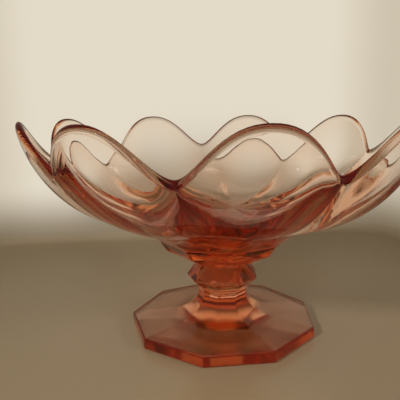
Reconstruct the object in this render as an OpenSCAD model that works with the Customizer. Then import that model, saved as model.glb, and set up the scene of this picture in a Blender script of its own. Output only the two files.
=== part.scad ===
// Footed comport in pressed pink glass: a bowl of nine petals on a faceted collar,
// a nine-sided knop and a nine-sided foot, fused to one another while hot.
// Origin: centre of the foot's underside. +Z up. One petal faces -Y. Millimetres.

/* [Whole dish] */
// Number of petals, which is also the number of sides of collar, knop and foot
petals = 9; // [7:1:12]
// Height from the table to the top of a petal
dish_h = 139.5; // [125:0.5:165]

/* [Foot] */
// Radius to the foot's corners
foot_r = 62.5; // [52:0.5:75]
// Height of the foot's upright edge
foot_edge_h = 7.4; // [5:0.1:10]
// Bevel along the top and bottom of that edge
foot_bevel = 0.9; // [0.3:0.1:2]
// Rise of the nearly flat panels from the edge to where the neck begins to flare
foot_rise = 2.6; // [1.5:0.1:8]
// Radius where the neck begins to flare out of the panels
flare_r = 40; // [28:0.5:48]
// Height of the foot, up to its joint with the knop
foot_h = 24; // [20:0.5:32]

/* [Knop] */
// Radius of the necks below and above the knop
neck_r = 16.4; // [13:0.1:20]
// Radius of the knop's widest edge
knop_r = 24; // [21:0.1:30]
// Height of the knop, from the foot's neck to the collar
knop_h = 20.5; // [16:0.5:28]
// Height of that edge above the foot's neck
knop_waist_h = 11.5; // [8:0.1:14]
// How far the lip below the knop stands out of the neck
lip_out = 0.6; // [0.3:0.1:2]
// Height of that lip's lower edge above the foot's joint
lip_up = 3.4; // [2:0.1:4]
// Height of that lip
lip_h = 1.8; // [1:0.1:3]

/* [Collar] */
// Radius to the collar's nine points
collar_r = 38; // [32:0.5:48]
// How far the collar is scooped between its points
collar_scoop = 4; // [1:0.1:6]
// Height of the collar, from the knop to the bowl
collar_h = 17.5; // [14:0.5:24]
// Rise of the collar's underside, from the knop out to its points
collar_rise = 10.5; // [6:0.5:13]
// Radius of the collar where it meets the bowl
seat_r = 43; // [40:0.5:50]

/* [Bowl] */
// Radius to the outside of a petal's tip
tip_r = 124.5; // [110:0.5:145]
// Share of the bowl's meridian below a notch between two petals
notch = 0.76; // [0.7:0.01:0.85]
// Depth of the grooves that part the petals outside
groove = 2; // [0.5:0.1:4]
// Wall at a petal's rim
rim_wall = 4.4; // [2.2:0.1:5.5]
// Height of the rim's rounded edge
rim_round = 4; // [1.5:0.1:5]
// Wall that a notch has more than a petal's tip
notch_wall = 1.2; // [0:0.1:2.5]
// Height of the ribs that part the petals inside, over the petals' hollows
rib = 3.4; // [1:0.1:5]
// Depth of the hollow inside each petal, which leaves its middle thinner than its rim
hollow = 2.1; // [0:0.1:2.5]
// Glass in the middle of the bowl, above its joint with the collar
floor_t = 12; // [8:0.5:18]

/* [Hidden] */

pink = [0.90, 0.56, 0.50];
lobe_a = 360 / petals;           // angle that one petal takes
front_a = -90;                   // direction in which one petal faces
groove_a = front_a + lobe_a / 2; // direction of one groove and one corner

neck_z = foot_h;
collar_z = foot_h + knop_h;
seat_z = collar_z + collar_h;
point_z = collar_z + collar_rise;
seat_dip = seat_r * cos(lobe_a / 2); // the seat's radius at a groove, where its sides meet
knop_band = 0.8;                 // height of the narrow band at the knop's widest edge
knop_neck = 1.2;                 // how far the knop's top neck is wider than its lower one

// Bends of the meridians, as shares of the way from the meridian's start to the rim
outer_bend = [[0.24, 0.30], [0.645, 0.066], [0.957, 0.69]];
inner_bend = [[0.37, -0.03], [0.82, 0.06], [0.965, 0.60]];
rim_power = 2.22;                // squareness of a petal's rim
rim_taper = 1.8;                 // how softly the rim runs down into a notch
groove_taper = 1.5;              // how softly a petal rounds into its groove
hollow_taper = 1.5;              // how softly a hollow rises towards the ribs

columns = 12;                    // mesh columns to a petal
rows = 12;                       // mesh rows up a wall
bead_rows = 4;                   // mesh rows round the rim
around = petals * columns;

// Quartic curve from a to b, with its three middle points given as shares of b - a
function curve(a, b, bend, t) = let (
    p = concat([a], [for (k = bend) a + [k[0] * (b[0] - a[0]), k[1] * (b[1] - a[1])]], [b]),
    c = [1, 4, 6, 4, 1]
) [for (axis = [0, 1]) sum([for (i = [0:4]) c[i] * pow(1 - t, 4 - i) * pow(t, i) * p[i][axis]])];
function sum(v, i = 0) = i < len(v) ? v[i] + sum(v, i + 1) : 0;
function unit(v) = v / norm(v);
function spin(rz, a) = [rz[0] * cos(a), rz[0] * sin(a), rz[1]];

// Outward normal of a meridian at t
function normal(a, b, bend, t) = let (
    step = 0.001,
    d = unit(curve(a, b, bend, min(t + step, 1)) - curve(a, b, bend, max(t - step, 0)))
) [d[1], -d[0]];

// Place across a petal: 0 on its middle line, 1 at a groove
function across(column) = abs((column % columns) / columns * 2 - 1);
function column_angle(column) = groove_a + lobe_a * column / columns;
// Radius at angle a on the straight side between a point at r0 and one at r1, half a petal apart
function side_r(r0, r1, a) = r0 * r1 * sin(lobe_a / 2)
    / (r0 * sin(a) + r1 * sin(lobe_a / 2 - a));

// How far up the meridian the rim stands
function reach(u) = notch + (1 - notch) * pow(1 - pow(u, rim_power), rim_taper);
function groove_share(u) = 1 - pow(1 - u * u, groove_taper);
// Share of a hollow's depth on the way to the rim: 1 at three quarters of it, 0 at both ends
function hollow_share(s) = pow(4 * s / 3, 3) * 4 * (1 - s);

outer_start = [seat_r, seat_z];
outer_end = [tip_r, dish_h - rim_round];
rim_in = rim_wall * normal(outer_start, outer_end, outer_bend, 1);
inner_start = [0, seat_z + floor_t];
inner_end = outer_end - rim_in;

function outside(u, s) = let (
    t = s * reach(u),
    n = normal(outer_start, outer_end, outer_bend, t),
    depth = groove * min(1, 4 * s) * groove_share(u)
) curve(outer_start, outer_end, outer_bend, t) - depth * n;

function inside(u, s) = let (
    t = s * reach(u),
    n = normal(inner_start, inner_end, inner_bend, t),
    rise = (groove + notch_wall * s + rib * 4 * s * (1 - s)) * min(1, 3 * s) * u * u,
    dip = hollow * hollow_share(s) * pow(1 - u * u, hollow_taper)
) curve(inner_start, inner_end, inner_bend, t) + (dip - rise) * n;

// Half oval from the outside to the inside of the rim
function bead(u, turn) = let (
    out = outside(u, 1),
    mid = (out + inside(u, 1)) / 2,
    e = out - mid,
    up = unit([-e[1], e[0]])
) mid + e * cos(turn) + rim_round * up * sin(turn);

function bowl_ring(f) = [for (c = [0:around - 1]) spin(f(across(c)), column_angle(c))];
bowl_rings = concat(
    [[for (c = [0:around - 1])
        spin([side_r(seat_r, seat_dip, across(c) * lobe_a / 2), seat_z], column_angle(c))]],
    [for (i = [1:rows]) bowl_ring(function(u) outside(u, i / rows))],
    [for (i = [1:bead_rows]) bowl_ring(function(u) bead(u, 180 * i / (bead_rows + 1)))],
    [for (i = [rows:-1:1]) bowl_ring(function(u) inside(u, i / rows))]
);

// Closed skin over a pile of rings that run anticlockwise, from the lowest one on.
// The last ring closes to the point tip, or flat where there is none.
module skin(rings, tip = []) {
    n = len(rings[0]);
    last = (len(rings) - 1) * n;
    polyhedron(
        points = concat([for (r = rings) each r], tip),
        faces = concat(
            [[for (i = [0:n - 1]) i]],
            [for (k = [0:len(rings) - 2], i = [0:n - 1]) let (j = (i + 1) % n, a = k * n)
                each [[a + i, a + n + i, a + n + j], [a + i, a + n + j, a + j]]],
            len(tip) > 0
                ? [for (i = [0:n - 1]) [last + i, last + n, last + (i + 1) % n]]
                : [[for (i = [n - 1:-1:0]) last + i]]
        )
    );
}

// Straight-sided ring with its corners in line with the grooves
function sided_ring(r, z) = [for (i = [0:petals - 1]) spin([r, z], groove_a + lobe_a * i)];

// The flare is a quarter ellipse, from the panels in and up to the neck
flare_z = foot_edge_h + foot_rise;
flare_rows = 6;
function flare(i) = let (a = 90 * i / flare_rows)
    [flare_r - (flare_r - neck_r) * sin(a), flare_z + (foot_h - flare_z) * (1 - cos(a))];

module foot() {
    color(pink) skin(concat(
        [sided_ring(foot_r - foot_bevel, 0), sided_ring(foot_r, foot_bevel),
            sided_ring(foot_r, foot_edge_h - foot_bevel), sided_ring(foot_r - foot_bevel, foot_edge_h)],
        [for (i = [0:flare_rows]) sided_ring(flare(i)[0], flare(i)[1])]
    ));
}

module knop() {
    top_r = neck_r + knop_neck;
    color(pink) skin([
        sided_ring(neck_r, neck_z),
        sided_ring(neck_r, neck_z + lip_up),
        sided_ring(neck_r + lip_out, neck_z + lip_up + lip_h / 3),
        sided_ring(neck_r + lip_out, neck_z + lip_up + lip_h),
        sided_ring(knop_r, neck_z + knop_waist_h - knop_band / 2),
        sided_ring(knop_r, neck_z + knop_waist_h + knop_band / 2),
        sided_ring(top_r, collar_z)
    ]);
}

// Facets between the knop's corners, the points with scoops between them, and the seat
module collar() {
    low = sided_ring(neck_r + knop_neck, collar_z);
    points = [for (i = [0:petals - 1]) each [
        spin([collar_r - collar_scoop, point_z], groove_a + lobe_a * i),
        spin([collar_r, point_z], groove_a + lobe_a * (i + 0.5))
    ]];
    seat = [for (i = [0:petals - 1]) spin([seat_r, seat_z], groove_a + lobe_a * (i + 0.5))];
    color(pink) polyhedron(
        points = concat(low, points, seat),
        faces = concat(
            [[for (i = [0:petals - 1]) i]],
            [for (i = [0:petals - 1]) let (
                corner = i,
                next_corner = (i + 1) % petals,
                scoop = petals + 2 * i,
                point = scoop + 1,
                next_scoop = petals + (2 * i + 2) % (2 * petals),
                above = 3 * petals + i,
                last_above = 3 * petals + (i + petals - 1) % petals
            ) each [
                [corner, scoop, point], [corner, point, next_corner],
                [next_corner, point, next_scoop], [scoop, last_above, above],
                [scoop, above, point], [point, above, next_scoop]
            ]],
            [[for (i = [petals - 1:-1:0]) 3 * petals + i]]
        )
    );
}

module bowl() {
    color(pink) skin(bowl_rings, [[0, 0, inner_start[1]]]);
}

bowl();
collar();
knop();
foot();
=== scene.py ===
import math

import bpy
import numpy as np
from mathutils import Matrix, Vector


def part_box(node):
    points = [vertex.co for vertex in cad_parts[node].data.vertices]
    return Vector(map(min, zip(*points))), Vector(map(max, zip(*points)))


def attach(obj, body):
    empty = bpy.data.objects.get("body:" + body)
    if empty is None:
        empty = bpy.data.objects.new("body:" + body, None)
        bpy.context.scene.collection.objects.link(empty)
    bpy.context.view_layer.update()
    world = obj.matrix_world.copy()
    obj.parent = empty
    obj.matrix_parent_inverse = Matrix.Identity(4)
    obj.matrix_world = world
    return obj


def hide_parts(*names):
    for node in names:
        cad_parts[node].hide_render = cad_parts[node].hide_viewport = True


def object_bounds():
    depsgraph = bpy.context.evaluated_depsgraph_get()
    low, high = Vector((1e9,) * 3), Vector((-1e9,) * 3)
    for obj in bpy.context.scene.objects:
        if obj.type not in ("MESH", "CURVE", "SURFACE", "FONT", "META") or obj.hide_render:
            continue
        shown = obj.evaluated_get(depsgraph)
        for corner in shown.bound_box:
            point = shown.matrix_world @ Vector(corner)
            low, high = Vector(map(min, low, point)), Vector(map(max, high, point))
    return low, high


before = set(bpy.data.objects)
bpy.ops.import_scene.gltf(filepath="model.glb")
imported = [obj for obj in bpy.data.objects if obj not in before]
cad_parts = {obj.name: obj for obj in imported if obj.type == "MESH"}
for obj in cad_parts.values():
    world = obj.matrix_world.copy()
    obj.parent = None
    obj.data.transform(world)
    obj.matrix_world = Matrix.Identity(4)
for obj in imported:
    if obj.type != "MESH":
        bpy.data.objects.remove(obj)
cadLow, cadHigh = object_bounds()
bowlBox, collarBox, knopBox, footBox = (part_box(name) for name in ("bowl", "collar", "knop", "foot"))
print("frame loaded, dish", round((cadHigh.z - cadLow.z) * 1000, 1), "mm high")

dish = {
    "petals": 9,            # petals of the bowl, sides of collar, knop and foot
    "front": -90.0,         # degrees, the way one petal faces
    "seamLap": 0.00003,     # how far a piece reaches into the one below it, where the glass is fused
    "weld": 0.000002,       # points closer than this are one point
    "bendShare": 0.45,      # the most of a side that the rounding of one corner takes
}
halfPetal = math.radians(180 / dish["petals"])
frontTurn = math.radians(dish["front"])


# Adds a node with its settings. An input is given a plain value or another node's output.
def addNode(tree, kind, inputs=(), **settings):
    node = tree.nodes.new(kind)
    for name, setting in settings.items():
        setattr(node, name, setting)
    for label, given in dict(inputs).items():
        if isinstance(given, bpy.types.NodeSocket):
            tree.links.new(given, node.inputs[label])
        else:
            node.inputs[label].default_value = given
    return node


def mathNode(tree, operation, *values):
    return addNode(tree, "ShaderNodeMath", enumerate(values), operation=operation).outputs[0]


# Goes from the first level to the second while value crosses the span
def rampNode(tree, value, span, levels=(0.0, 1.0), interpolation="LINEAR"):
    inputs = zip(("Value", "From Min", "From Max", "To Min", "To Max"), (value, *span, *levels))
    return addNode(tree, "ShaderNodeMapRange", inputs, interpolation_type=interpolation).outputs["Result"]


# kind is FLOAT for numbers and RGBA for colours
def mixNode(tree, kind, factor, first, second, mode="MIX"):
    inputs = {"Factor": factor, "A": first, "B": second}
    return addNode(tree, "ShaderNodeMix", inputs, data_type=kind, blend_type=mode).outputs["Result"]


def mixShader(tree, factor, first, second):
    return addNode(tree, "ShaderNodeMixShader", enumerate((factor, first, second))).outputs[0]


# X, Y and Z of a place or a direction
def splitNode(tree, vector):
    return addNode(tree, "ShaderNodeSeparateXYZ", {"Vector": vector}).outputs


def objectPlace(tree):
    return addNode(tree, "ShaderNodeTexCoord").outputs["Object"]


# Slow waves that a mould leaves in pressed glass, as a height from 0 to 1
def mouldWavesGroup():
    group = bpy.data.node_groups.new("mouldWaves", "ShaderNodeTree")
    face = group.interface
    for label in ("Wave Size", "Ripple Size", "Ripple Share"):
        face.new_socket(label, in_out="INPUT", socket_type="NodeSocketFloat")
    face.new_socket("Height", in_out="OUTPUT", socket_type="NodeSocketFloat")
    given = addNode(group, "NodeGroupInput").outputs
    place = objectPlace(group)
    layers = []
    for label, detail in (("Wave Size", 0.0), ("Ripple Size", 1.0)):
        scale = mathNode(group, "DIVIDE", 1.0, given[label])
        noise = addNode(group, "ShaderNodeTexNoise", {"Vector": place, "Scale": scale, "Detail": detail})
        layers.append(noise.outputs["Fac"])
    addNode(group, "NodeGroupOutput", {"Height": mixNode(group, "FLOAT", given["Ripple Share"], *layers)})
    return group


glassLook = {
    "tint": (1.0, 1.0, 1.0, 1),
    "ior": 1.51,
    "absorb": (0.86, 0.385, 0.03, 1),  # colour left by the depth of the glass
    "density": 47.0,                   # per metre
    "waveSize": 0.022,                 # of the slow waves in its surface
    "rippleSize": 0.006,               # and of the finer ripples in them
    "rippleShare": 0.18,
    "waveHeight": 0.00012,
    "polished": (0.0, 0.02),           # roughness in the troughs of the waves, and on their crests
    "crests": (0.45, 0.8),             # wave heights between which it grows
    "satin": 0.11,                     # roughness of the foot's worn top
    "ground": 0.15,                    # and of its ground underside
    "groundBelow": 0.0004,             # height under which a face is the underside
    "satinLevel": (0.65, 0.95),        # how level a face is where the wear starts, and where it is full
    "satinBelow": (0.020, 0.014),      # height where it starts, and where it is full
}


# Polished glass, with a satin wear on the level top of the foot and under it. The underside counts as
# level where light reaches it from inside the glass, because its normal then points up too.
def glassRoughness(tree, waves):
    height = splitNode(tree, objectPlace(tree))["Z"]
    level = splitNode(tree, addNode(tree, "ShaderNodeNewGeometry").outputs["Normal"])["Z"]
    polished = rampNode(tree, waves, glassLook["crests"], glassLook["polished"])
    underside = mathNode(tree, "LESS_THAN", height, glassLook["groundBelow"])
    worn = mixNode(tree, "FLOAT", underside, glassLook["satin"], glassLook["ground"])
    flat = rampNode(tree, level, glassLook["satinLevel"])
    low = rampNode(tree, height, glassLook["satinBelow"])
    return mixNode(tree, "FLOAT", mathNode(tree, "MULTIPLY", flat, low), polished, worn)


def pinkGlass():
    material = bpy.data.materials.new("pinkGlass")
    material.use_nodes = True
    tree = material.node_tree
    shader = tree.nodes["Principled BSDF"]
    shader.inputs["Base Color"].default_value = glassLook["tint"]
    shader.inputs["Metallic"].default_value = 0.0
    shader.inputs["Transmission Weight"].default_value = 1.0
    shader.inputs["IOR"].default_value = glassLook["ior"]
    sizes = {
        "Wave Size": glassLook["waveSize"],
        "Ripple Size": glassLook["rippleSize"],
        "Ripple Share": glassLook["rippleShare"],
    }
    waves = addNode(tree, "ShaderNodeGroup", sizes, node_tree=mouldWaves).outputs["Height"]
    bump = addNode(tree, "ShaderNodeBump", {"Height": waves, "Distance": glassLook["waveHeight"]})
    tree.links.new(bump.outputs["Normal"], shader.inputs["Normal"])
    tree.links.new(glassRoughness(tree, waves), shader.inputs["Roughness"])
    tone = {"Color": glassLook["absorb"], "Density": glassLook["density"]}
    depth = addNode(tree, "ShaderNodeVolumeAbsorption", tone)
    tree.links.new(depth.outputs["Volume"], tree.nodes["Material Output"].inputs["Volume"])
    return material


# Node tree that sets copies of a wedge round the dish's axis and welds them into one skin
def repeatRoundTree():
    tree = bpy.data.node_groups.new("repeatRound", "GeometryNodeTree")
    face = tree.interface
    face.new_socket("Wedge", in_out="INPUT", socket_type="NodeSocketGeometry")
    face.new_socket("Copies", in_out="INPUT", socket_type="NodeSocketInt")
    face.new_socket("Weld Distance", in_out="INPUT", socket_type="NodeSocketFloat")
    face.new_socket("Glass", in_out="INPUT", socket_type="NodeSocketMaterial")
    face.new_socket("Piece", in_out="OUTPUT", socket_type="NodeSocketGeometry")
    given = addNode(tree, "NodeGroupInput").outputs
    points = addNode(tree, "GeometryNodePoints", {"Count": given["Copies"]}).outputs[0]
    index = addNode(tree, "GeometryNodeInputIndex").outputs[0]
    share = mathNode(tree, "DIVIDE", index, given["Copies"])
    turn = addNode(tree, "ShaderNodeCombineXYZ", {"Z": mathNode(tree, "MULTIPLY", share, 2 * math.pi)})
    spread = {"Points": points, "Instance": given["Wedge"], "Rotation": turn.outputs[0]}
    copies = addNode(tree, "GeometryNodeInstanceOnPoints", spread).outputs[0]
    real = addNode(tree, "GeometryNodeRealizeInstances", {"Geometry": copies}).outputs[0]
    near = {"Geometry": real, "Distance": given["Weld Distance"]}
    welded = addNode(tree, "GeometryNodeMergeByDistance", near).outputs[0]
    smooth = addNode(tree, "GeometryNodeSetShadeSmooth", {"Geometry": welded}).outputs[0]
    paint = addNode(tree, "GeometryNodeSetMaterial", {"Geometry": smooth, "Material": given["Glass"]})
    addNode(tree, "NodeGroupOutput", {"Piece": paint.outputs[0]})
    return tree


mouldWaves = mouldWavesGroup()
glass = pinkGlass()
repeatRound = repeatRoundTree()
print("glass mixed")


def socketName(tree, label):
    return next(item.identifier for item in tree.interface.items_tree if item.name == label)


def meshObject(name, points, faces):
    mesh = bpy.data.meshes.new(name)
    mesh.from_pydata(points, [], faces)
    mesh.validate()
    piece = bpy.data.objects.new(name, mesh)
    bpy.context.scene.collection.objects.link(piece)
    return piece


def ringPlace(radius, turn, height):
    return (radius * math.cos(turn), radius * math.sin(turn), height)


# Repeats a wedge, rounds its edges if it has any to round, and leaves a plain mesh in its place
def ringOf(wedge, node, edge=None):
    repeat = wedge.modifiers.new("repeat", "NODES")
    repeat.node_group = repeatRound
    repeat[socketName(repeatRound, "Copies")] = dish["petals"]
    repeat[socketName(repeatRound, "Weld Distance")] = dish["weld"]
    repeat[socketName(repeatRound, "Glass")] = glass
    if edge:
        bevel = wedge.modifiers.new("edges", "BEVEL")
        bevel.width = edge["width"]
        bevel.segments = edge["segments"]
        bevel.limit_method = "ANGLE"
        bevel.angle_limit = math.radians(edge["sharperThan"])
        bevel.harden_normals = True
    ready = wedge.evaluated_get(bpy.context.evaluated_depsgraph_get())
    mesh = bpy.data.meshes.new_from_object(ready)
    mesh.name = wedge.name
    wedge.modifiers.clear()
    wedge.data = mesh
    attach(wedge, "root")
    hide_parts(node)
    print(wedge.name, len(mesh.polygons), "faces")


# Places across a wedge from -1 to 1, closest together at its two edges
def acrossWedge(columns):
    steps = np.linspace(-1, 1, columns + 1)
    return np.sin(steps * math.pi / 2)


# One petal's or side's share of a piece. Its rings run from the flat underside over the outside to
# the last one, which closes on the axis at the height top. A ring is a pair of arrays, radius and
# height, with one value for each place across.
def wedgeObject(name, rings, across, top):
    turns = frontTurn + halfPetal * across
    points = [Vector((0, 0, rings[0][1][0]))]
    for radius, height in rings:
        points += [Vector(place) for place in zip(radius * np.cos(turns), radius * np.sin(turns), height)]
    points.append(Vector((0, 0, top)))
    wide = len(across)
    faces = [(0, 2 + k, 1 + k) for k in range(wide - 1)]
    for ring in range(len(rings) - 1):
        low = 1 + ring * wide
        high = low + wide
        faces += [(low + k, low + k + 1, high + k + 1, high + k) for k in range(wide - 1)]
    last = 1 + (len(rings) - 1) * wide
    faces += [(last + k, last + k + 1, len(points) - 1) for k in range(wide - 1)]
    return meshObject(name, points, faces)


# ringsFor gives the piece's rings and the height of its top for the places across a wedge
def ringPiece(name, node, columns, ringsFor):
    across = acrossWedge(columns)
    rings, top = ringsFor(across)
    ringOf(wedgeObject(name, rings, across, top), node)


# A profile with its corners made round, each as a short bend that starts and ends reach away from it
def rounded(profile, reach, steps):
    corners = [Vector(corner) for corner in profile]
    line = [corners[0]]
    for before, corner, after in zip(corners, corners[1:], corners[2:]):
        shorter = min((before - corner).length, (after - corner).length)
        cut = min(reach, dish["bendShare"] * shorter)
        start = corner + (before - corner).normalized() * cut
        end = corner + (after - corner).normalized() * cut
        for step in range(steps + 1):
            t = step / steps
            line.append(start * (1 - t) ** 2 + corner * 2 * t * (1 - t) + end * t ** 2)
    return line + [corners[-1]]


# Radius across one straight side of a many-sided ring whose corners are rounded
def sideRadius(corner, across, rounding):
    middle = corner - rounding / math.cos(halfPetal)
    turn = halfPetal * (1 - np.abs(across))
    touch = math.atan2(rounding * math.sin(halfPetal), middle + rounding * math.cos(halfPetal))
    flat = corner * math.cos(halfPetal) / np.cos(halfPetal * across)
    inner = np.maximum(rounding ** 2 - (middle * np.sin(turn)) ** 2, 0)
    bend = middle * np.cos(turn) + np.sqrt(inner)
    return np.where(turn > touch, flat, bend)


# A ring for each point of a profile, with straight sides and rounded corners
def sidedRings(profile, across, rounding):
    return [(sideRadius(spot.x, across, rounding), np.full(len(across), spot.y)) for spot in profile]


bowl = {
    "columns": 40,           # mesh columns across a petal
    "rows": 46,              # mesh rows up a wall
    "rowCrowding": 1.6,      # 1 spaces them evenly, more crowds them towards the rim
    "beadRows": 14,          # mesh rows round the rim
    "seatRadius": 0.043,
    "notch": 0.76,           # share of the bowl's meridian below a notch
    "groove": 0.002,         # depth of the grooves outside
    "grooveFull": 0.25,      # share of the way up where they reach it
    "rimWall": 0.0044,
    "rimRound": 0.0040,      # height of the rim's rounded edge
    "notchWall": 0.0012,     # what a notch's rim has more than a petal's
    "rib": 0.0034,           # height of the ribs inside
    "ribFull": 1 / 3,        # share of the way up over which they set in
    "hollow": 0.0021,        # depth of the hollow in the middle of each petal
    "hollowPeak": 0.75,      # share of the way up where it is deepest
    "floor": 0.012,          # glass in the middle, above the seat
    "outerBend": ((0.24, 0.30), (0.645, 0.066), (0.957, 0.69)),   # shares of the way out and up
    "innerBend": ((0.37, -0.03), (0.82, 0.06), (0.965, 0.60)),
    "inset": 0.0003,         # how far the rim's fine mesh stays inside the solid's box
    "rimPower": 2.22,        # squareness of a petal's rim
    "rimTaper": 1.8,         # how softly the rim runs down into a notch
    "grooveTaper": 1.5,      # how softly a petal rounds into its groove
    "hollowTaper": 1.5,      # how softly a hollow rises towards the ribs
}


# Place on a Bezier curve for each t
def curveAt(points, t):
    t = t[:, None]
    last = len(points) - 1
    weights = [math.comb(last, i) * (1 - t) ** (last - i) * t ** i for i in range(last + 1)]
    return sum(weight * point for weight, point in zip(weights, points))


# Meridian from start to end, bent towards three points between them
class Meridian:
    def __init__(self, start, end, bend):
        start, end = np.array(start), np.array(end)
        middle = [start + np.array(share) * (end - start) for share in bend]
        self.points = [start, *middle, end]
        self.steps = [b - a for a, b in zip(self.points, self.points[1:])]

    def at(self, t):
        return curveAt(self.points, t)

    def outward(self, t):
        way = curveAt(self.steps, t)
        way = way / np.linalg.norm(way, axis=1, keepdims=True)
        return np.stack([way[:, 1], -way[:, 0]], axis=1)


# 1 where a hollow is deepest, 0 at the bottom of the bowl and at the rim
def hollowShare(s):
    peak = bowl["hollowPeak"]
    return (s / peak) ** (peak / (1 - peak)) * (1 - s) / (1 - peak)


# Half oval over the rim, from its outer edge to its inner one
def rimBead(edgeOut, edgeIn):
    centre = (edgeOut + edgeIn) / 2
    arm = edgeOut - centre
    upward = np.stack([-arm[:, 1], arm[:, 0]], axis=1)
    upward *= bowl["rimRound"] / np.linalg.norm(upward, axis=1, keepdims=True)
    turns = [math.pi * row / bowl["beadRows"] for row in range(1, bowl["beadRows"])]
    return [(centre + arm * math.cos(turn) + upward * math.sin(turn)).T for turn in turns]


def bowlRings(across):
    u = np.abs(across)   # 0 on a petal's middle line, 1 at a groove
    seat = (bowl["seatRadius"], bowlBox[0].z)
    tipRadius = -bowlBox[0].y - bowl["inset"]   # one petal faces -Y
    tip = np.array((tipRadius, bowlBox[1].z - bowl["rimRound"] - bowl["inset"]))
    outer = Meridian(seat, tip, bowl["outerBend"])
    tipIn = tip - bowl["rimWall"] * outer.outward(np.ones(1))[0]
    floorTop = seat[1] + bowl["floor"]
    inner = Meridian((0, floorTop), tipIn, bowl["innerBend"])
    reach = bowl["notch"] + (1 - bowl["notch"]) * (1 - u ** bowl["rimPower"]) ** bowl["rimTaper"]
    groove = bowl["groove"] * (1 - (1 - u * u) ** bowl["grooveTaper"])
    hollow = bowl["hollow"] * (1 - u * u) ** bowl["hollowTaper"]

    def outside(s):
        depth = groove * min(1, s / bowl["grooveFull"])
        return outer.at(s * reach) - depth[:, None] * outer.outward(s * reach)

    def inside(s):
        rib = bowl["rib"] * 4 * s * (1 - s)   # highest halfway up
        swell = bowl["groove"] + bowl["notchWall"] * s + rib
        rise = swell * min(1, s / bowl["ribFull"]) * u * u - hollow * hollowShare(s)
        return inner.at(s * reach) - rise[:, None] * inner.outward(s * reach)

    shares = [1 - (1 - row / bowl["rows"]) ** bowl["rowCrowding"] for row in range(1, bowl["rows"] + 1)]
    seatSide = seat[0] * math.cos(halfPetal) / np.cos(halfPetal * (1 - u))
    rings = [(seatSide, np.full(len(u), seat[1] - dish["seamLap"]))]
    rings += [outside(s).T for s in shares]
    rings += rimBead(outside(1), inside(1))
    rings += [inside(s).T for s in reversed(shares)]
    return rings, floorTop


ringPiece("petalBowl", "bowl", bowl["columns"], bowlRings)


collar = {
    "neckRadius": 0.0176,     # to the corners where it meets the knop
    "pointRadius": 0.038,     # its nine points, in line with the petals
    "scoopRadius": 0.034,     # between them
    "pointRise": 0.0105,      # from the knop up to the points
    "edge": {"width": 0.0006, "segments": 3, "sharperThan": 8},   # degrees
}


def collarWedge():
    low = collarBox[0].z - dish["seamLap"]
    level = collarBox[0].z + collar["pointRise"]
    high = collarBox[1].z
    left, middle, right = (frontTurn + halfPetal * side for side in (-1, 0, 1))
    seatDip = bowl["seatRadius"] * math.cos(halfPetal)   # in the middle of the seat's straight sides
    places = {
        "base": (0, 0, low),
        "neckA": ringPlace(collar["neckRadius"], left, low),
        "neckB": ringPlace(collar["neckRadius"], right, low),
        "scoopA": ringPlace(collar["scoopRadius"], left, level),
        "scoopB": ringPlace(collar["scoopRadius"], right, level),
        "point": ringPlace(collar["pointRadius"], middle, level),
        "seatA": ringPlace(seatDip, left, high),
        "seatB": ringPlace(seatDip, right, high),
        "seat": ringPlace(bowl["seatRadius"], middle, high),
        "lid": (0, 0, high),
    }
    facets = [
        "base neckB neckA", "neckA point scoopA", "neckA neckB point", "neckB scoopB point",
        "scoopA seat seatA", "scoopA point seat", "point scoopB seat", "scoopB seatB seat",
        "lid seatA seat", "lid seat seatB",
    ]
    order = list(places)
    faces = [[order.index(corner) for corner in facet.split()] for facet in facets]
    return meshObject("facetCollar", list(places.values()), faces)


ringOf(collarWedge(), "collar", collar["edge"])


knop = {
    "columns": 16,            # mesh columns across a side
    "neckRadius": 0.0164,
    "lipRadius": 0.0170,
    "lipFrom": 0.0034,        # height of the lip over the foot's neck
    "lipSlope": 0.0006,       # height of its slanting underside
    "lipHigh": 0.0018,
    "waistRadius": 0.024,
    "waistFrom": 0.0111,      # height of the narrow band over the foot's neck
    "waistHigh": 0.0008,
    "edgeReach": 0.0007,      # how far the rounding of an edge reaches
    "edgeSteps": 4,
    "cornerRounding": 0.0009,
}


def knopRings(across):
    low, high = knopBox[0].z, knopBox[1].z
    profile = [
        (knop["neckRadius"], low - dish["seamLap"]),
        (knop["neckRadius"], low + knop["lipFrom"]),
        (knop["lipRadius"], low + knop["lipFrom"] + knop["lipSlope"]),
        (knop["lipRadius"], low + knop["lipFrom"] + knop["lipHigh"]),
        (knop["waistRadius"], low + knop["waistFrom"]),
        (knop["waistRadius"], low + knop["waistFrom"] + knop["waistHigh"]),
        (collar["neckRadius"], high),
    ]
    line = rounded(profile, knop["edgeReach"], knop["edgeSteps"])
    return sidedRings(line, across, knop["cornerRounding"]), high


ringPiece("facetKnop", "knop", knop["columns"], knopRings)


foot = {
    "columns": 24,            # mesh columns across a side
    "baseInset": 0.0036,      # from a corner in to the last ring of the flat underside
    "edgeHigh": 0.0074,       # height of the upright edge
    "edgeBevel": 0.0009,
    "panelRise": 0.0026,      # of the nearly level panels, from the edge to the flare
    "flareRadius": 0.040,     # where the neck begins to flare out of the panels
    "flareRows": 20,
    "edgeReach": 0.0009,      # how far the rounding of an edge reaches
    "edgeSteps": 5,
    "cornerRounding": 0.0012,
}


# The foot's corners lie halfway between petals, so its box tells their radius
def footRadius():
    turns = [frontTurn + halfPetal * (2 * side + 1) for side in range(dish["petals"])]
    return footBox[1].x / max(math.cos(turn) for turn in turns)


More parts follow.
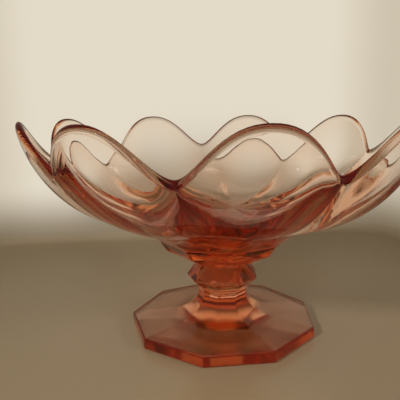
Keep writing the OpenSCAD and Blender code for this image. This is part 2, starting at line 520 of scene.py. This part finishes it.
def footRings(across):
    low, high = footBox[0].z, footBox[1].z
    corner = footRadius()
    bevel = foot["edgeBevel"]
    edgeTop = low + foot["edgeHigh"]
    flareFrom = edgeTop + foot["panelRise"]
    profile = [
        (corner - foot["baseInset"], low), (corner - bevel, low), (corner, low + bevel),
        (corner, edgeTop - bevel), (corner - bevel, edgeTop), (foot["flareRadius"], flareFrom),
    ]
    line = rounded(profile, foot["edgeReach"], foot["edgeSteps"])
    for row in range(1, foot["flareRows"] + 1):
        turn = math.pi / 2 * row / foot["flareRows"]
        radius = foot["flareRadius"] - (foot["flareRadius"] - knop["neckRadius"]) * math.sin(turn)
        line.append(Vector((radius, flareFrom + (high - flareFrom) * (1 - math.cos(turn)))))
    return sidedRings(line, across, foot["cornerRounding"]), high


ringPiece("nineSidedFoot", "foot", foot["columns"], footRings)


room = {
    "table": (0.29, 0.23, 0.147, 1),
    "tableRoughness": 0.22,
    "tableGloss": 0.9,
    "wall": (0.77, 0.70, 0.57, 1),
    "wallFootShade": (0.26, 0.205, 0.135, 1),   # painted shade on the wall where it meets the table
    "wallFade": (0.004, 0.068),            # heights between which that colour gives way
    "shadeTop": 0.152,                     # height where it has given way behind the dish, in its shade
    "shadeMiddle": 0.03,                   # place of that shade to the right of the dish's axis
    "shadeSpan": (0.07, 0.17),             # distances from there over which the shade ends
    "sideShade": (0.80, 0.78, 0.74, 1),    # what the two side walls leave of the wall's colour
    "sideFade": (0.16, 0.23),              # distances to the side over which they set in
    "ceiling": (0.78, 0.66, 0.50, 1),
    "below": (0.27, 0.21, 0.135, 1),       # seen past the table's edge
    "wallTop": (0.24, 0.60),               # heights on the unit sphere between wall and ceiling
    "half": 0.235,                         # from the dish's axis to a wall
    "wallHigh": 0.40,
    "bend": 0.012,                         # radius between table and wall
    "bendRows": 8,
    "glowFrom": 0.02,                      # share of the bend's height where the wall's glow sets in
    "corner": 12.0,                        # squareness of the room's plan: 2 is round
    "sides": 180,                          # mesh sides of that plan
    "footGap": 0.0002,                     # air under the foot
    "glossShare": 0.30,                    # how bright the room is in reflections
    "fillLow": (1.72, 1.54, 1.24, 1),      # light from the horizon
    "fillHigh": (0.75, 0.65, 0.52, 1),     # and from above
    "fillSpan": (0.3, 0.7),                # heights on the unit sphere between those two
    "fillSlant": -0.4,                     # how much weaker the light is towards +X
}
tableTop = footBox[0].z - room["footGap"]


# 1 for rays that show the surroundings, 0 for those that light something
def seenMask(tree):
    path = addNode(tree, "ShaderNodeLightPath").outputs
    shown = path["Is Camera Ray"]
    for kind in ("Is Glossy Ray", "Is Transmission Ray"):
        shown = mathNode(tree, "MAXIMUM", shown, path[kind])
    direct = mathNode(tree, "LESS_THAN", path["Diffuse Depth"], 0.5)   # no diffuse bounce yet
    return mathNode(tree, "MULTIPLY", shown, direct)


# Strength of the room's glow: lower in outside reflections than seen directly or through glass
def glossDim(tree):
    reflected = addNode(tree, "ShaderNodeLightPath").outputs["Is Reflection Ray"]
    return rampNode(tree, reflected, (0.0, 1.0), (1.0, room["glossShare"]))


# Painted shade on the wall: darker towards the table, in the dish's shade and on the side walls
def wallColor(tree, place):
    aside = mathNode(tree, "SUBTRACT", place["X"], room["shadeMiddle"])
    fromShade = mathNode(tree, "ABSOLUTE", aside)
    tops = [tableTop + height for height in (room["shadeTop"], room["wallFade"][1])]
    fadeTop = rampNode(tree, fromShade, room["shadeSpan"], tops, "SMOOTHSTEP")
    fadeSpan = (tableTop + room["wallFade"][0], fadeTop)
    fade = rampNode(tree, place["Z"], fadeSpan, interpolation="SMOOTHSTEP")
    # painted shade at the wall's foot, reaching higher behind the dish
    color = mixNode(tree, "RGBA", fade, room["wallFootShade"], room["wall"])
    side = mathNode(tree, "ABSOLUTE", place["X"])
    sideways = rampNode(tree, side, room["sideFade"], interpolation="SMOOTHSTEP")
    return mixNode(tree, "RGBA", sideways, color, room["sideShade"], "MULTIPLY")


# A plain table under walls that show only from inside, and let all light pass
def roomMaterial():
    material = bpy.data.materials.new("plainRoom")
    material.use_nodes = True
    tree = material.node_tree
    table = tree.nodes["Principled BSDF"]
    table.inputs["Base Color"].default_value = room["table"]
    table.inputs["Roughness"].default_value = room["tableRoughness"]
    table.inputs["Specular IOR Level"].default_value = room["tableGloss"]
    place = splitNode(tree, objectPlace(tree))
    light = {"Color": wallColor(tree, place), "Strength": glossDim(tree)}
    glow = addNode(tree, "ShaderNodeEmission", light).outputs[0]
    clear = addNode(tree, "ShaderNodeBsdfTransparent").outputs[0]
    behind = addNode(tree, "ShaderNodeNewGeometry").outputs["Backfacing"]
    inside = mathNode(tree, "SUBTRACT", 1.0, behind)
    wall = mixShader(tree, mathNode(tree, "MULTIPLY", inside, seenMask(tree)), clear, glow)
    bend = [tableTop + share * room["bend"] for share in (room["glowFrom"], 1)]
    whole = mixShader(tree, rampNode(tree, place["Z"], bend), table.outputs[0], wall)
    tree.links.new(whole, tree.nodes["Material Output"].inputs["Surface"])
    return material


# Radius of the room's plan in one direction, as a share of its half width
def planShare(turn):
    power = room["corner"]
    total = abs(math.cos(turn)) ** power + abs(math.sin(turn)) ** power
    return total ** (-1 / power)


# Table and walls in one sweep
def makeRoom():
    line = []
    for row in range(room["bendRows"] + 1):
        tilt = math.pi / 2 * row / room["bendRows"]
        radius = room["half"] - room["bend"] * (1 - math.sin(tilt))
        line.append((radius, tableTop + room["bend"] * (1 - math.cos(tilt))))
    line.append((room["half"], tableTop + room["wallHigh"]))
    sides = room["sides"]
    turns = [2 * math.pi * k / sides for k in range(sides)]
    points = [(0, 0, tableTop)]
    for radius, height in line:
        points += [ringPlace(radius * planShare(turn), turn, height) for turn in turns]
    faces = [(0, 1 + k, 1 + (k + 1) % sides) for k in range(sides)]
    for row in range(len(line) - 1):
        low = 1 + row * sides
        faces += [(low + k, low + sides + k, low + sides + (k + 1) % sides, low + (k + 1) % sides)
                  for k in range(sides)]
    sweep = meshObject("studioRoom", points, faces)
    for polygon in sweep.data.polygons:
        polygon.use_smooth = True
    sweep.data.materials.append(roomMaterial())


# Over the walls their colour goes on and turns into the ceiling's. The table is lit by a soft fill.
def makeWorld():
    world = bpy.data.worlds.new("plainWorld")
    bpy.context.scene.world = world
    world.use_nodes = True
    tree = world.node_tree
    way = splitNode(tree, addNode(tree, "ShaderNodeTexCoord").outputs["Generated"])
    above = mixNode(tree, "RGBA", rampNode(tree, way["Z"], room["wallTop"]), room["wall"], room["ceiling"])
    under = mathNode(tree, "LESS_THAN", way["Z"], 0.0)
    around = mixNode(tree, "RGBA", under, above, room["below"])
    height = rampNode(tree, way["Z"], room["fillSpan"])
    fill = mixNode(tree, "RGBA", height, room["fillLow"], room["fillHigh"])
    slant = mathNode(tree, "MULTIPLY_ADD", way["X"], room["fillSlant"], 1.0)
    slanted = addNode(tree, "ShaderNodeVectorMath", {"Vector": fill, "Scale": slant}, operation="SCALE")
    seen = mixNode(tree, "RGBA", seenMask(tree), slanted.outputs["Vector"], around)
    background = tree.nodes["Background"]
    tree.links.new(seen, background.inputs["Color"])
    tree.links.new(glossDim(tree), background.inputs["Strength"])


# Two soft panels that face the dish
lamps = {
    "keyPanel": {"place": (-0.75, -0.7, 0.62), "size": (0.09, 0.12), "power": 8, "color": (1, 0.95, 0.86)},
    "fillPanel": {"place": (0.9, -0.6, 0.55), "size": (0.1, 0.1), "power": 3, "color": (1, 0.93, 0.84)},
}


def makeLamps():
    target = Vector((0, 0, (cadLow.z + cadHigh.z) / 2))
    for name, values in lamps.items():
        lamp = bpy.data.lights.new(name, "AREA")
        lamp.shape = "RECTANGLE"
        lamp.size, lamp.size_y = values["size"]
        lamp.energy = values["power"]
        lamp.color = values["color"]
        holder = bpy.data.objects.new(name, lamp)
        holder.location = values["place"]
        holder.rotation_euler = (target - holder.location).to_track_quat("-Z", "Y").to_euler()
        bpy.context.scene.collection.objects.link(holder)


view = {
    "place": (-0.0503, -0.3094, 0.1454),
    "turn": 6.54,             # degrees to the right of +Y
    "down": 10.66,            # and below the horizon
    "roll": -0.745,
    "lens": 43.48,            # millimetres
    "sensor": 36,             # width in millimetres
    "near": 0.01,             # nothing closer to the camera is drawn
    "bounces": 64,            # how often light may cross or leave a face of the glass
}


def makeCamera():
    data = bpy.data.cameras.new("camera")
    data.lens = view["lens"]
    data.sensor_width = view["sensor"]
    data.clip_start = view["near"]
    camera = bpy.data.objects.new("camera", data)
    turn = Matrix.Rotation(-math.radians(view["turn"]), 4, "Z")
    tilt = Matrix.Rotation(math.radians(90 - view["down"]), 4, "X")
    roll = Matrix.Rotation(math.radians(view["roll"]), 4, "Z")
    camera.matrix_world = Matrix.Translation(view["place"]) @ turn @ tilt @ roll
    bpy.context.scene.collection.objects.link(camera)
    bpy.context.scene.camera = camera


makeRoom()
makeWorld()
makeLamps()
makeCamera()
scene = bpy.context.scene
scene.view_settings.view_transform = "Standard"
scene.cycles.max_bounces = view["bounces"]
scene.cycles.transmission_bounces = view["bounces"]
scene.cycles.glossy_bounces = view["bounces"]
print("table, light and camera placed")
